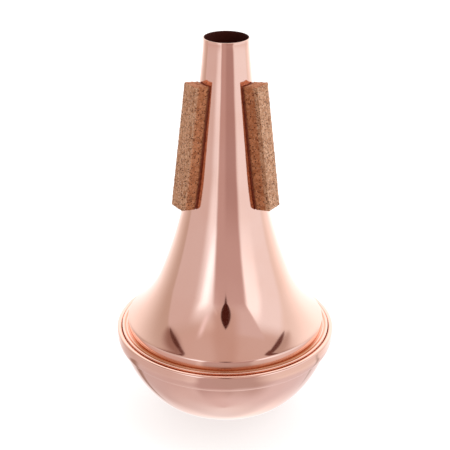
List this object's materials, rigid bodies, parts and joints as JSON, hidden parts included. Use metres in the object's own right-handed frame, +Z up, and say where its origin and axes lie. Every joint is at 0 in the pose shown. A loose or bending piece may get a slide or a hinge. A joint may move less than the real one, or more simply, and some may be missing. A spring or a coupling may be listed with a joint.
{
  "type": "trumpet straight mute",
  "caption": "Spun copper straight mute for a trumpet: long flared horn crimped to a rounded end bowl, with cork strips round its neck.",
  "frame": {"origin": "centre of the bowl's flat foot, which the mute stands on", "axes": "+Z up the axis, from the closed bowl to the open mouth; -Y towards the viewer of the picture, between two cork strips; +Y through the third, rear cork strip"},
  "size_m": [0.105, 0.105, 0.183],
  "materials": {
    "polished_copper": "polished and lacquered copper, mirror bright, with faint spinning marks",
    "cork": "natural cork, sanded, with dark pores",
    "contact_cement": "dried dark amber contact cement"
  },
  "bodies": {
    "root": {"horn_shell": "polished_copper", "end_bowl": "polished_copper", "cork_strip_rear": "cork", "cork_strip_left": "cork", "cork_strip_right": "cork", "cork_cement_rear": "contact_cement", "cork_cement_left": "contact_cement", "cork_cement_right": "contact_cement"}
  },
  "joints": []
}
